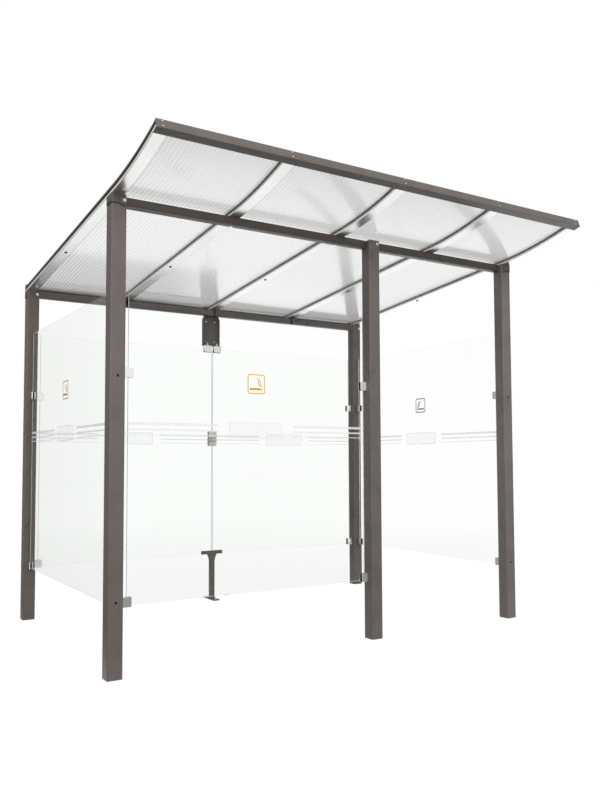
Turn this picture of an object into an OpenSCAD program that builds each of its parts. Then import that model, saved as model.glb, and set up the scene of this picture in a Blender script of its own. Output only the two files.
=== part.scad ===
// Smoking shelter: a post frame with a curved multiwall roof and clamped glass walls.
// The frame stands on its posts. +X is to the right, +Y is to the rear, +Z is up.

/* [Frame] */
// Width across the outer faces of the corner posts
frame_w = 2500; // [2300:10:2700]
// Depth across the outer faces of the corner posts
frame_d = 1600; // [1400:10:1800]
// Side of the square posts
post_w = 70; // [60:1:80]
// Wall of the square posts
post_wall = 3; // [2:0.5:4]
// Outer radius of the posts' upright edges
post_r = 6; // [5:0.5:9]
// Thickness of the plate that closes the foot of each post
post_foot_t = 6; // [4:1:10]
// Clear width of the entrance between the middle post and the right post
entrance_w = 936.5; // [800:0.5:1100]

/* [Roof] */
// Height of the underside of the roof at the front face of the posts
roof_under_z = 2127.5; // [2050:0.5:2250]
// Fall of the straight part of the roof, in degrees
roof_slope = 5.45; // [3:0.05:7]
// Radius of the upturned front part, at the top of the roof
roof_r = 2300; // [2000:10:3000]
// Length of the upturned front part, along the top of the roof
roof_front_len = 516; // [400:1:600]
// Height of the lower half of a glazing bar
bar_h = 13; // [10:0.5:18]
// Width of a glazing bar
bar_w = 60; // [50:1:70]
// Thickness of the roof sheets
sheet_t = 10; // [8:1:16]
// Height of the upper half of a glazing bar
cap_h = 14; // [10:0.5:18]
// Width of the web inside a glazing bar, between two sheets
web_w = 6; // [4:0.5:8]
// Gap between the edge of a sheet and the web beside it
sheet_gap = 1; // [0.5:0.1:3]
// Width and height of the step along the top edges of a cap
cap_step = 4; // [2:0.5:6]
// Wall of the bars along the front and rear edges of the roof
edge_t = 3; // [2:0.5:4]
// Depth of the lip under the roof at the front and rear edges
edge_lip = 37; // [25:1:50]
// Height that the front edge bar stands above the caps
edge_up = 1; // [0:0.5:3]

/* [Beams] */
// Height of a beam at its outer face
beam_h = 40; // [35:0.5:50]
// Depth of a beam
beam_d = 45; // [35:1:50]
// Wall of a beam
beam_wall = 3; // [2:0.5:4]
// Width of the slots in the inner side of a beam, under the inner glazing bars
slot_w = 14; // [8:1:20]
// Depth of the slots
slot_d = 15; // [10:1:20]
// Wall of the folded sleeves at the corners
sleeve_t = 2.5; // [2:0.5:4]
// How far short of the inner corner the front plate of a sleeve stops
sleeve_short = 8; // [4:1:15]
// How far the lower edge of a sleeve drops near its inner side
sleeve_drop = 11; // [5:1:20]

/* [Glass] */
// Thickness of the glass
glass_t = 8; // [6:1:12]
// Height of the lower edge of the glass
glass_z = 308; // [200:1:400]
// Height of the glass
glass_h = 1400; // [1200:10:1500]
// Gap between the edge of the glass and the post beside it
glass_gap = 24; // [15:1:28]
// Gap between the two rear panels
joint_gap = 7; // [6:0.5:12]

/* [Fittings] */
// Length of a clamp, from the post
clamp_l = 49; // [45:1:60]
// Height of a clamp
clamp_h = 45; // [40:1:55]
// Thickness of a clamp
clamp_t = 26; // [24:0.5:32]
// Radius of the corners on the glass side of a clamp
clamp_r = 12; // [4:1:18]
// Height of the lower clamps' centres
clamp_low_z = 323; // [320:1:500]
// Height of the upper clamps' centres
clamp_high_z = 1334; // [1100:1:1450]
// Thickness of the rubber between a fitting and the glass
rubber_t = 1; // [0.5:0.5:2]
// Width of the bracket that hangs from the rear beam
bracket_w = 125; // [115:1:150]
// Wall of the bracket
bracket_wall = 3; // [2:0.5:4]
// Width of the neck that rises behind the beam
neck_w = 85; // [60:1:100]
// Size of the chamfer at the shoulders of the bracket
shoulder = 20; // [10:1:20]
// Size of the chamfer at the lower corners of the bracket
bracket_corner = 6; // [4:1:12]
// Width of a clamp under the bracket
hanger_w = 52; // [40:1:56]
// Height of a clamp under the bracket
hanger_h = 45; // [40:1:55]
// Distance between the centres of the two clamps under the bracket
hanger_pitch = 71; // [66:1:90]
// Width of the joint connector
joint_w = 59; // [40:1:80]
// Height of the joint connector
joint_h = 99; // [60:1:140]
// Height of the joint connector's lower edge
joint_z = 1040; // [700:5:1200]
// Thickness of the plates of the joint connector
joint_t = 6; // [3:0.5:8]
// Gap between the web of the joint connector and the glass
joint_clear = 1; // [0.5:0.5:2]

/* [Foot support] */
// Length of the rail under the rear panels
rail_l = 153; // [100:1:220]
// Height of the rail
rail_h = 22; // [15:1:30]
// Wall of the rail
rail_wall = 3; // [2:0.5:5]
// Side of the column
column_w = 30; // [20:1:40]
// Width of the gussets at the top of the column, over all
gusset_w = 61; // [50:1:100]
// Height of the gussets
gusset_h = 55; // [30:1:80]
// Thickness of the gussets
gusset_t = 6; // [4:0.5:8]
// Size of the base plate across the glass
base_l = 160; // [120:1:200]
// Size of the base plate along the glass
base_w = 44; // [40:1:90]
// Thickness of the base plate
base_t = 8; // [5:1:12]
// Side of the collar around the foot of the column
collar_w = 38; // [36:1:44]
// Height of the collar
collar_h = 8; // [4:1:15]

/* [Hidden] */

$fn = 48;
// Overlap of a cutting shape past the face that it cuts
cut = 1;
// Bars across the roof, one over each side and the rest spread evenly
bar_count = 5;
// Straight pieces that make up the upturned front part of the roof
arc_steps = 24;

// Outer faces of the posts, and the edges beside the entrance
x_left = -frame_w / 2;
x_right = frame_w / 2;
middle_x1 = x_right - post_w - entrance_w;
middle_x0 = middle_x1 - post_w;

// Roof: depths are measured down from the top, square to it
sheet_top = cap_h;
bar_top = cap_h + sheet_t;
roof_t = cap_h + sheet_t + bar_h;
roof_top_z = roof_under_z + roof_t / cos(roof_slope);
roof_rear_len = frame_d / cos(roof_slope);
arc_y = roof_r * sin(roof_slope);
arc_z = roof_top_z + roof_r * cos(roof_slope);
bar_pitch = frame_w / (bar_count - 1);

// Clamps and the rubber in them
clamp_slot_w = glass_t + 2 * rubber_t;
clamp_slot_x = glass_gap - rubber_t;
glass_top_z = glass_z + glass_h;
glass_inset = post_w + glass_gap;
glass_mid = post_w / 2;
rear_glass_y = frame_d - glass_mid;
clamp_heights = [clamp_low_z, clamp_high_z];
bracket_z = glass_top_z + glass_gap;

// Outer faces of the beams, whose inner faces are flush with those of the posts
front_beam_y = post_w - beam_d;
rear_beam_y = frame_d - front_beam_y;

// Point on the roof: s runs rearwards along the top from the foot of the upturned
// part, and t is the depth below the top
function roof_pt(s, t) =
    s >= 0
        ? [s * cos(roof_slope) - t * sin(roof_slope),
           roof_top_z - s * sin(roof_slope) - t * cos(roof_slope)]
        : let (a = roof_slope - s / roof_r * 180 / PI)
          [arc_y - (roof_r + t) * sin(a), arc_z - (roof_r + t) * cos(a)];

// Height of the underside of the straight part of the roof
function under_z(y) = roof_under_z - y * tan(roof_slope);

// Positions along the roof from s0 to s1, close together where it curves
function roof_steps(s0, s1) = concat(
    s0 < 0 ? [for (i = [0 : arc_steps]) let (s = s0 * (1 - i / arc_steps)) if (s < s1) s] : [s0],
    [s1]
);

// Middle of the model from front to rear, so that the origin is below its centre
y_front = roof_pt(-roof_front_len - edge_t, roof_t + edge_t)[0];
y_rear = max(roof_pt(roof_rear_len + edge_t, -edge_t)[0], rear_glass_y + base_l / 2);
y_mid = (y_front + y_rear) / 2;

// Everything is drawn from the front faces of the front posts and moved to the origin
module place() {
    translate([0, -y_mid, 0]) children();
}

// Outline in the Y-Z plane, drawn out along X from x0 to x1
module across(x0, x1) {
    translate([x0, 0, 0]) rotate([90, 0, 90]) linear_extrude(height = x1 - x0) children();
}

// Layer of the roof from depth t0 to t1, from s0 to s1
module roof_layer(x0, x1, t0, t1, s0 = -roof_front_len, s1 = roof_rear_len) {
    steps = roof_steps(s0, s1);
    n = len(steps);
    across(x0, x1) polygon(concat(
        [for (s = steps) roof_pt(s, t0)],
        [for (i = [n - 1 : -1 : 0]) roof_pt(steps[i], t1)]
    ));
}

// Everything above the underside of the roof, over the part of it that is straight
module above_roof() {
    y0 = -2 * sleeve_t;
    y1 = frame_d + 2 * sleeve_t;
    across(x_left - post_w, x_right + post_w) polygon([
        [y0, under_z(y0)], [y1, under_z(y1)], [y1, 2 * roof_top_z], [y0, 2 * roof_top_z]
    ]);
}

// Square with its lower left corner at the origin and round corners
module round_square(w, r) {
    union() {
        translate([r, 0]) square([w - 2 * r, w]);
        translate([0, r]) square([w, w - 2 * r]);
        for (x = [r, w - r], y = [r, w - r]) translate([x, y]) circle(r = r);
    }
}

// Square tube with a closed foot, cut along the underside of the roof
module post(x, y) {
    hollow_w = post_w - 2 * post_wall;
    difference() {
        translate([x, y, 0]) linear_extrude(height = roof_top_z) round_square(post_w, post_r);
        translate([x + post_wall, y + post_wall, post_foot_t])
            linear_extrude(height = roof_top_z) round_square(hollow_w, post_r - post_wall);
        above_roof();
    }
}

// Folded plate round the outer corner of a post; the corner is at (x, y), and inwards
// is along x_dir and y_dir. z is the height of its lower edge.
module sleeve(x, y, x_dir, y_dir, z) {
    inner = post_w - sleeve_short;
    bend = inner / 2;
    translate([x, y, 0]) mirror([x_dir > 0 ? 0 : 1, 0, 0]) mirror([0, y_dir > 0 ? 0 : 1, 0])
        difference() {
            translate([0, 0, z - sleeve_drop])
                linear_extrude(height = roof_top_z - z + sleeve_drop)
                difference() {
                    translate([-sleeve_t, -sleeve_t])
                        round_square(post_w + 2 * sleeve_t, post_r + sleeve_t);
                    round_square(post_w, post_r);
                    translate([inner, -2 * sleeve_t]) square([post_w, 2 * post_w]);
                    translate([0, post_w / 2]) square([post_w, post_w]);
                    translate([-2 * sleeve_t, post_w - post_r]) square([post_w, post_w]);
                }
            translate([0, post_w + cut, 0]) rotate([90, 0, 0]) linear_extrude(height = 2 * post_w)
                polygon([
                    [-2 * sleeve_t, z - 2 * sleeve_drop], [inner + cut, z - 2 * sleeve_drop],
                    [inner + cut, z - sleeve_drop], [inner, z - sleeve_drop],
                    [bend + sleeve_drop, z - sleeve_drop / 3], [bend, z], [-2 * sleeve_t, z]
                ]);
        }
}

// Tube with slots in its inner side; y is its outer face and back points inwards
module beam(x0, x1, y, back) {
    z0 = under_z(y) - beam_h;
    y_in = y + back * beam_d;
    y_a = y + back * beam_wall;
    y_b = y_in - back * beam_wall;
    // The top follows the roof, but never rises above its height at the outer face
    function top_z(p) = min(under_z(p), under_z(y));
    difference() {
        across(x0, x1) polygon([[y, z0], [y_in, z0], [y_in, top_z(y_in)], [y, top_z(y)]]);
        across(x0 - cut, x1 + cut) polygon([
            [y_a, z0 + beam_wall], [y_b, z0 + beam_wall],
            [y_b, top_z(y_b) - beam_wall], [y_a, top_z(y_a) - beam_wall]
        ]);
        for (i = [1 : bar_count - 2])
            translate([bar_mid(i) - slot_w / 2, min(y_in - back * slot_d, y_in + back * cut), z0 - cut])
                cube([slot_w, slot_d + cut, beam_h + 2 * beam_wall]);
    }
}

// Middle of a glazing bar, counted from 0 at the left; the end bars lie flush with the
// outer faces of the posts
function bar_mid(i) = max(x_left + bar_w / 2, min(x_right - bar_w / 2, x_left + i * bar_pitch));

module glazing_bar(i) {
    color("gainsboro") place()
        roof_layer(bar_mid(i) - bar_w / 2, bar_mid(i) + bar_w / 2, bar_top, roof_t);
}

// Upper half of a glazing bar, with the web that runs down between the sheets
module bar_cap(i) {
    color("dimgray") place() {
        x = bar_mid(i);
        union() {
            roof_layer(x - bar_w / 2 + cap_step, x + bar_w / 2 - cap_step, 0, cap_step);
            roof_layer(x - bar_w / 2, x + bar_w / 2, cap_step, cap_h);
            roof_layer(x - web_w / 2, x + web_w / 2, cap_h, bar_top);
        }
    }
}

module roof_sheet(i) {
    color("whitesmoke", 0.6) place() roof_layer(
        bar_mid(i) + web_w / 2 + sheet_gap, bar_mid(i + 1) - web_w / 2 - sheet_gap,
        sheet_top, bar_top
    );
}

// Rubber that fills the outer groove of the two end bars
module edge_gaskets() {
    color("black") place() {
        roof_layer(x_left, x_left + (bar_w - web_w) / 2, sheet_top, bar_top);
        roof_layer(x_right - (bar_w - web_w) / 2, x_right, sheet_top, bar_top);
    }
}

module front_edge_bar() {
    s = -roof_front_len;
    color("gray") place() union() {
        across(x_left, x_right) polygon([
            roof_pt(s - edge_t, -edge_up), roof_pt(s, -edge_up),
            roof_pt(s, roof_t + edge_t), roof_pt(s - edge_t, roof_t + edge_t)
        ]);
        roof_layer(x_left, x_right, roof_t, roof_t + edge_t, s, s + edge_lip);
    }
}

module rear_edge_bar() {
    s = roof_rear_len;
    color("gray") place() union() {
        across(x_left, x_right) polygon([
            roof_pt(s, -edge_t), roof_pt(s + edge_t, -edge_t),
            roof_pt(s + edge_t, roof_t), roof_pt(s, roof_t)
        ]);
        roof_layer(x_left, x_right, -edge_t, 0, s - edge_lip, s);
    }
}

module post_front_left() {
    color("dimgray") place() post(x_left, 0);
}

module post_front_middle() {
    color("dimgray") place() post(middle_x0, 0);
}

module post_front_right() {
    color("dimgray") place() post(x_right - post_w, 0);
}

module post_rear_left() {
    color("dimgray") place() post(x_left, frame_d - post_w);
}

module post_rear_right() {
    color("dimgray") place() post(x_right - post_w, frame_d - post_w);
}

module sleeve_front_left() {
    color("dimgray") place() difference() {
        sleeve(x_left, 0, 1, 1, under_z(front_beam_y) - beam_h);
        above_roof();
    }
}

module sleeve_front_right() {
    color("dimgray") place() difference() {
        sleeve(x_right, 0, -1, 1, under_z(front_beam_y) - beam_h);
        above_roof();
    }
}

module sleeve_rear_left() {
    color("dimgray") place() difference() {
        sleeve(x_left, frame_d, 1, -1, under_z(rear_beam_y) - beam_h);
        above_roof();
    }
}

module sleeve_rear_right() {
    color("dimgray") place() difference() {
        sleeve(x_right, frame_d, -1, -1, under_z(rear_beam_y) - beam_h);
        above_roof();
    }
}

module front_beam_left() {
    color("dimgray") place() beam(x_left + post_w, middle_x0, front_beam_y, 1);
}

module front_beam_right() {
    color("dimgray") place() beam(middle_x1, x_right - post_w, front_beam_y, 1);
}

module rear_beam() {
    color("dimgray") place() beam(x_left + post_w, x_right - post_w, rear_beam_y, -1);
}

// Upright pane in the X-Z plane, centred on y
module pane_along(x0, x1, y) {
    color("lightcyan", 0.3) place()
        translate([x0, y - glass_t / 2, glass_z]) cube([x1 - x0, glass_t, glass_h]);
}

// Upright pane in the Y-Z plane, centred on x
module pane_deep(x) {
    color("lightcyan", 0.3) place() translate([x - glass_t / 2, glass_inset, glass_z])
        cube([glass_t, frame_d - 2 * glass_inset, glass_h]);
}

module glass_front() {
    pane_along(x_left + glass_inset, middle_x0 - glass_gap, glass_mid);
}

module glass_left() {
    pane_deep(x_left + glass_mid);
}

module glass_right() {
    pane_deep(x_right - glass_mid);
}

module glass_rear_left() {
    pane_along(x_left + glass_inset, -joint_gap / 2, rear_glass_y);
}

module glass_rear_right() {
    pane_along(joint_gap / 2, x_right - glass_inset, rear_glass_y);
}

// Clamp body lying along +X with its back at the origin, round at the far corners
module clamp_shape(l, h) {
    translate([0, clamp_t / 2, 0]) rotate([90, 0, 0]) linear_extrude(height = clamp_t) union() {
        translate([0, -h / 2]) square([l - clamp_r, h]);
        translate([0, clamp_r - h / 2]) square([l, h - 2 * clamp_r]);
        translate([l - clamp_r, clamp_r - h / 2]) circle(r = clamp_r);
        translate([l - clamp_r, h / 2 - clamp_r]) circle(r = clamp_r);
    }
}

module clamp(l, h) {
    difference() {
        clamp_shape(l, h);
        translate([clamp_slot_x, -clamp_slot_w / 2, -h / 2 - cut])
            cube([l, clamp_slot_w, h + 2 * cut]);
    }
}

// Rubber lining of a clamp's slot, cut to the outline of the clamp
module clamp_rubber(l, h) {
    intersection() {
        clamp_shape(l, h);
        translate([clamp_slot_x, 0, 0]) difference() {
            translate([0, -clamp_slot_w / 2, -h / 2]) cube([l, clamp_slot_w, h]);
            translate([rubber_t, -glass_t / 2, -h / 2 - cut]) cube([l, glass_t, h + 2 * cut]);
        }
    }
}

// Pair of positions, one above the other, facing along the angle
module at_clamps(x, y, angle) {
    for (z = clamp_heights) translate([x, y, z]) rotate([0, 0, angle]) children();
}

module at_front_clamps() {
    at_clamps(x_left + post_w, glass_mid, 0) children();
    at_clamps(middle_x0, glass_mid, 180) children();
}

module at_side_clamps(x) {
    at_clamps(x, post_w, 90) children();
    at_clamps(x, frame_d - post_w, -90) children();
}

module at_rear_clamps() {
    at_clamps(x_left + post_w, rear_glass_y, 0) children();
    at_clamps(x_right - post_w, rear_glass_y, 180) children();
}

// The two clamps under the bracket face down on the top edges of the rear panels
module at_hanger_clamps() {
    for (side = [-1, 1])
        translate([side * hanger_pitch / 2, rear_glass_y, bracket_z]) rotate([0, 90, 0]) children();
}

module clamps_front() {
    color("silver") place() at_front_clamps() clamp(clamp_l, clamp_h);
}

module clamps_left() {
    color("silver") place() at_side_clamps(x_left + glass_mid) clamp(clamp_l, clamp_h);
}

module clamps_right() {
    color("silver") place() at_side_clamps(x_right - glass_mid) clamp(clamp_l, clamp_h);
}

module clamps_rear() {
    color("silver") place() at_rear_clamps() clamp(clamp_l, clamp_h);
}

module hanger_clamps() {
    color("silver") place() at_hanger_clamps() clamp(hanger_h, hanger_w);
}

// Folded tray that hangs from the back of the rear beam, open to the front, with a
// shelf for the clamps
module hanging_bracket() {
    w = bracket_w / 2;
    bracket_d = frame_d - rear_beam_y;
    y_shelf = rear_glass_y - clamp_t / 2;
    z_shoulder = under_z(rear_beam_y) - beam_h;
    z_top = under_z(frame_d) - cut;
    neck = neck_w / 2;
    // Outline of the tray, drawn in by d on all sides but the top of the neck
    module tray(d) {
        polygon([
            [bracket_corner - w, bracket_z + d], [w - bracket_corner, bracket_z + d],
            [w - d, bracket_z + bracket_corner], [w - d, z_shoulder - shoulder],
            [neck - d, z_shoulder], [neck - d, z_top], [d - neck, z_top],
            [d - neck, z_shoulder], [d - w, z_shoulder - shoulder],
            [d - w, bracket_z + bracket_corner]
        ]);
    }
    color("dimgray") place() union() {
        difference() {
            translate([0, frame_d, 0]) rotate([90, 0, 0])
                linear_extrude(height = bracket_d) tray(0);
            translate([0, frame_d - bracket_wall, 0]) rotate([90, 0, 0])
                linear_extrude(height = bracket_d) tray(bracket_wall);
            translate([bracket_wall - neck, rear_beam_y - cut, z_top - cut])
                cube([neck_w - 2 * bracket_wall, bracket_d - bracket_wall + cut, 2 * cut]);
        }
        translate([bracket_corner - w, y_shelf, bracket_z])
            cube([bracket_w - 2 * bracket_corner, rear_beam_y - y_shelf, bracket_wall]);
    }
}

// Two plates over the joint of the rear panels, with a web between the panels
module joint_connector() {
    half = glass_t / 2 + rubber_t;
    web = joint_gap / 2 - joint_clear;
    color("silver") place() translate([0, rear_glass_y, joint_z])
        linear_extrude(height = joint_h) union() {
            translate([-joint_w / 2, half]) square([joint_w, joint_t]);
            translate([-joint_w / 2, -half - joint_t]) square([joint_w, joint_t]);
            translate([-web, -half]) square([2 * web, 2 * half]);
        }
}

// Thin pads between the joint connector and each side of the two panels
module joint_rubbers() {
    for (side = [-1, 1], face = [-1, 1])
        translate([
            side > 0 ? joint_gap / 2 : -joint_w / 2,
            rear_glass_y + (face > 0 ? glass_t / 2 : -glass_t / 2 - rubber_t),
            joint_z
        ]) cube([(joint_w - joint_gap) / 2, rubber_t, joint_h]);
}

// U-shaped rubber in the rail of the foot support
module rail_rubber() {
    z0 = glass_z - rubber_t;
    translate([-rail_l / 2, rear_glass_y, z0]) difference() {
        translate([0, -clamp_slot_w / 2, 0]) cube([rail_l, clamp_slot_w, rail_h - rail_wall]);
        translate([-cut, -glass_t / 2, rubber_t]) cube([rail_l + 2 * cut, glass_t, rail_h]);
    }
}

module glass_rubbers() {
    color("black") place() {
        at_front_clamps() clamp_rubber(clamp_l, clamp_h);
        at_side_clamps(x_left + glass_mid) clamp_rubber(clamp_l, clamp_h);
        at_side_clamps(x_right - glass_mid) clamp_rubber(clamp_l, clamp_h);
        at_rear_clamps() clamp_rubber(clamp_l, clamp_h);
        at_hanger_clamps() clamp_rubber(hanger_h, hanger_w);
        joint_rubbers();
        rail_rubber();
    }
}

// Base plate, collar, column and gussets that carry the rail under the rear panels
module foot_support() {
    rail_z = glass_z - rubber_t - rail_wall;
    rail_w = clamp_slot_w + 2 * rail_wall;
    color("dimgray") place() translate([0, rear_glass_y, 0]) union() {
        translate([-base_w / 2, -base_l / 2, 0]) cube([base_w, base_l, base_t]);
        translate([-collar_w / 2, -collar_w / 2, base_t]) cube([collar_w, collar_w, collar_h]);
        translate([-column_w / 2, -column_w / 2, base_t])
            cube([column_w, column_w, rail_z - base_t]);
        for (side = [-1, 1])
            translate([0, gusset_t / 2, 0]) rotate([90, 0, 0]) linear_extrude(height = gusset_t)
                polygon([
                    [side * column_w / 2, rail_z - gusset_h], [side * column_w / 2, rail_z],
                    [side * gusset_w / 2, rail_z]
                ]);
        difference() {
            translate([-rail_l / 2, -rail_w / 2, rail_z]) cube([rail_l, rail_w, rail_h]);
            translate([-rail_l / 2 - cut, -clamp_slot_w / 2, rail_z + rail_wall])
                cube([rail_l + 2 * cut, clamp_slot_w, rail_h]);
        }
    }
}

post_front_left();
post_front_middle();
post_front_right();
post_rear_left();
post_rear_right();
sleeve_front_left();
sleeve_front_right();
sleeve_rear_left();
sleeve_rear_right();
front_beam_left();
front_beam_right();
rear_beam();
glazing_bar(0);  // glazing_bar_1
glazing_bar(1);  // glazing_bar_2
glazing_bar(2);  // glazing_bar_3
glazing_bar(3);  // glazing_bar_4
glazing_bar(4);  // glazing_bar_5
bar_cap(0);  // bar_cap_1
bar_cap(1);  // bar_cap_2
bar_cap(2);  // bar_cap_3
bar_cap(3);  // bar_cap_4
bar_cap(4);  // bar_cap_5
roof_sheet(0);  // roof_sheet_1
roof_sheet(1);  // roof_sheet_2
roof_sheet(2);  // roof_sheet_3
roof_sheet(3);  // roof_sheet_4
edge_gaskets();
front_edge_bar();
rear_edge_bar();
glass_front();
glass_left();
glass_right();
glass_rear_left();
glass_rear_right();
clamps_front();
clamps_left();
clamps_right();
clamps_rear();
hanging_bracket();
hanger_clamps();
joint_connector();
glass_rubbers();
foot_support();
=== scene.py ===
# Smoking shelter: square steel posts, an aluminium and polycarbonate roof with an
# upturned front, and clamped glass walls. Metres; X to the right, Y to the rear, Z up.
import bmesh
import bpy
import math
from mathutils import Matrix, Vector


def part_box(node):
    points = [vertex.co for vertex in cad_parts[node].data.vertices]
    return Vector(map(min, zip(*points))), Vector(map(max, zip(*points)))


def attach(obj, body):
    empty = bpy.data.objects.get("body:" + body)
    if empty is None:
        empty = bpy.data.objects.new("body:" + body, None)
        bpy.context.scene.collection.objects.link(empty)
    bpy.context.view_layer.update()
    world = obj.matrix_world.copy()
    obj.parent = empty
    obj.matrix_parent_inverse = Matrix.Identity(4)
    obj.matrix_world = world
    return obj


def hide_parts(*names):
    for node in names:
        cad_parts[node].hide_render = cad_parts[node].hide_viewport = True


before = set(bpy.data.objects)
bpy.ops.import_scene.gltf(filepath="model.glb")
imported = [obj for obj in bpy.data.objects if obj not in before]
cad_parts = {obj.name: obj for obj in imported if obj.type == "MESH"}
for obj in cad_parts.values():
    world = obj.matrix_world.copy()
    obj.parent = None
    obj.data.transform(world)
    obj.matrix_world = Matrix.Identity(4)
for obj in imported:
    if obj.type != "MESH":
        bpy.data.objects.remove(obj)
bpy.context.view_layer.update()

# ---------------------------------------------------------------- posts
# Square 70 mm steel tubes with rolled corners, closed at the foot, powder coated
# after welding. They stand on the ground and carry everything else.


def srgb(code):
    """Linear colour of an sRGB hex value."""
    parts = [int(code[i:i + 2], 16) / 255 for i in (1, 3, 5)]
    return tuple(c / 12.92 if c <= 0.04045 else ((c + 0.055) / 1.055) ** 2.4 for c in parts) + (1,)


def add_node(tree, kind, inputs=None, **settings):
    """Adds a node. Each input is a value, a socket, or a node whose first output is meant."""
    made = tree.nodes.new(kind)
    for name, value in settings.items():
        setattr(made, name, value)
    for name, value in (inputs or {}).items():
        if isinstance(value, bpy.types.Node):
            value = next(socket for socket in value.outputs if socket.enabled)
        if isinstance(value, bpy.types.NodeSocket):
            tree.links.new(value, made.inputs[name])
        else:
            made.inputs[name].default_value = value
    return made


def new_finish(name):
    """Empty node material, its tree, and the Object coordinates that patterns follow.
    A pattern's scale is 1000 over its real size in millimetres."""
    finish = bpy.data.materials.new(name)
    finish.use_nodes = True
    tree = finish.node_tree
    tree.nodes.clear()
    return finish, tree, add_node(tree, "ShaderNodeTexCoord").outputs["Object"]


def grained_surface(tree, gloss, relief, roughness, spread, strength, depth, sockets):
    """Ends a material: its roughness follows the gloss pattern, over a spread below and
    above, and its skin follows the relief pattern, which is depth metres high. A noise
    lies between 0.3 and 0.7 nearly everywhere."""
    rough = add_node(tree, "ShaderNodeMapRange", {
        "Value": gloss, "From Min": 0.3, "From Max": 0.7,
        "To Min": roughness - spread[0], "To Max": roughness + spread[1]})
    bump = add_node(tree, "ShaderNodeBump", {
        "Height": relief, "Strength": strength, "Distance": depth})
    surface = add_node(tree, "ShaderNodeBsdfPrincipled", {
        "Roughness": rough, "Normal": bump, **sockets})
    add_node(tree, "ShaderNodeOutputMaterial", {"Surface": surface})


def powder_coat(name, main, deep, roughness=0.30):
    """Polyester powder coat: satin, with the fine orange peel of a baked coat, 1.5 mm
    from crest to crest, and a cloudiness of about 120 mm where the film is thicker."""
    finish, tree, place = new_finish(name)
    cloud = add_node(tree, "ShaderNodeTexNoise", {
        "Vector": place, "Scale": 1000 / 120, "Detail": 3.0})
    peel = add_node(tree, "ShaderNodeTexNoise", {
        "Vector": place, "Scale": 1000 / 1.5, "Detail": 2.0})
    blend = add_node(tree, "ShaderNodeMath", {0: cloud, 1: peel}, operation="MULTIPLY")
    tone = add_node(tree, "ShaderNodeMapRange", {
        "Value": blend, "From Min": 0.15, "From Max": 0.35})
    colour = add_node(tree, "ShaderNodeMix", {0: tone, 6: srgb(deep), 7: srgb(main)},
                      data_type="RGBA")
    grained_surface(tree, cloud, peel, roughness, (0.04, 0.05), 0.35, 0.00015, {
        "Base Color": colour, "IOR": 1.5, "Specular IOR Level": 0.30})
    return finish


def dress_node(name, finish):
    """Gives a node that keeps its own shape its finish."""
    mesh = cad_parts[name].data
    if not mesh.materials:
        mesh.materials.append(finish)
    for i in range(len(mesh.materials)):
        mesh.materials[i] = finish


post_coat = powder_coat("powder_coat_grey_brown", "#675f5b", "#5e5753")
# The post at the entrance's right side has a lighter copy of the coat: painted light on it
lit_post_coat = powder_coat("powder_coat_grey_brown_painted_light", "#716965", "#68605c")
dress_node("post_front_right", lit_post_coat)
for name in ("front_left", "front_middle", "rear_left", "rear_right"):
    dress_node("post_" + name, post_coat)

# Outer faces of the frame, from which the rest is set out
frame_x0, front_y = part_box("post_front_left")[0][0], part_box("post_front_left")[0][1]
frame_x1, rear_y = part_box("post_rear_right")[1][0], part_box("post_rear_right")[1][1]
post_side = 0.070

# ---------------------------------------------------------------- corner sleeves
# Folded 2.5 mm steel plates round the outer corner of each corner post, coated like the
# frame but in a darker copy of its coat, which is painted shade under the roof. They hide
# the joint of post, beams and roof, and a black bead under their foot is painted shadow.

corners = ("front_left", "front_right", "rear_left", "rear_right")
sleeve_plate, sleeve_edge, bead_height = 0.0025, 0.0006, 0.003


def shade_by_angle(mesh, degrees=35):
    """Smooth shading with hard edges where faces meet at more than the angle."""
    mesh.polygons.foreach_set("use_smooth", [True] * len(mesh.polygons))
    mesh.set_sharp_from_angle(angle=math.radians(degrees))
    mesh.update()


def show_mesh(name, mesh, finishes):
    """Object at the origin with the mesh and its finishes."""
    mesh.name = name
    mesh.materials.clear()
    for finish in finishes:
        mesh.materials.append(finish)
    piece = bpy.data.objects.new(name, mesh)
    bpy.context.scene.collection.objects.link(piece)
    return piece


def plain_mesh(piece):
    """Mesh of a piece with its modifiers applied; the piece itself is removed."""
    graph = bpy.context.evaluated_depsgraph_get()
    graph.update()
    mesh = bpy.data.meshes.new_from_object(piece.evaluated_get(graph), depsgraph=graph)
    old = piece.data
    bpy.data.objects.remove(piece)
    if old.users == 0 and isinstance(old, bpy.types.Mesh):
        bpy.data.meshes.remove(old)
    return mesh


def ease_edges(name, mesh, finishes, radius, steps=2):
    """Piece with the edges of the mesh eased to a small radius."""
    piece = show_mesh(name + "_sharp", mesh, finishes)
    mesh.polygons.foreach_set("use_smooth", [True] * len(mesh.polygons))
    ease = piece.modifiers.new("ease", "BEVEL")
    ease.width = radius
    ease.segments = steps
    ease.limit_method = "ANGLE"
    ease.angle_limit = math.radians(30)
    ease.use_clamp_overlap = True
    ease.harden_normals = True
    return show_mesh(name, plain_mesh(piece), finishes)


def merged_form(name):
    """Copy of a node's mesh with its triangles joined into flat faces."""
    form = bmesh.new()
    form.from_mesh(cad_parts[name].data)
    bmesh.ops.remove_doubles(form, verts=form.verts, dist=0.00001)
    bmesh.ops.dissolve_limit(form, angle_limit=math.radians(0.2),
                             verts=form.verts, edges=form.edges)
    return form


def mesh_of(name, form):
    """Mesh of a form, which is then freed."""
    mesh = bpy.data.meshes.new(name)
    form.to_mesh(mesh)
    form.free()
    return mesh


def closed_mesh(name, form):
    """Mesh of a form with its faces turned outwards."""
    bmesh.ops.recalc_face_normals(form, faces=form.faces)
    return mesh_of(name, form)


def dressed_copy(node, name, finish, radius):
    """Copy of a node with eased edges, which stands for it."""
    piece = ease_edges(name, mesh_of(name, merged_form(node)), [finish], radius)
    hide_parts(node)
    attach(piece, "root")
    return piece


# The sleeves' coat is a darker copy of the posts': painted shade under the roof
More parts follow.
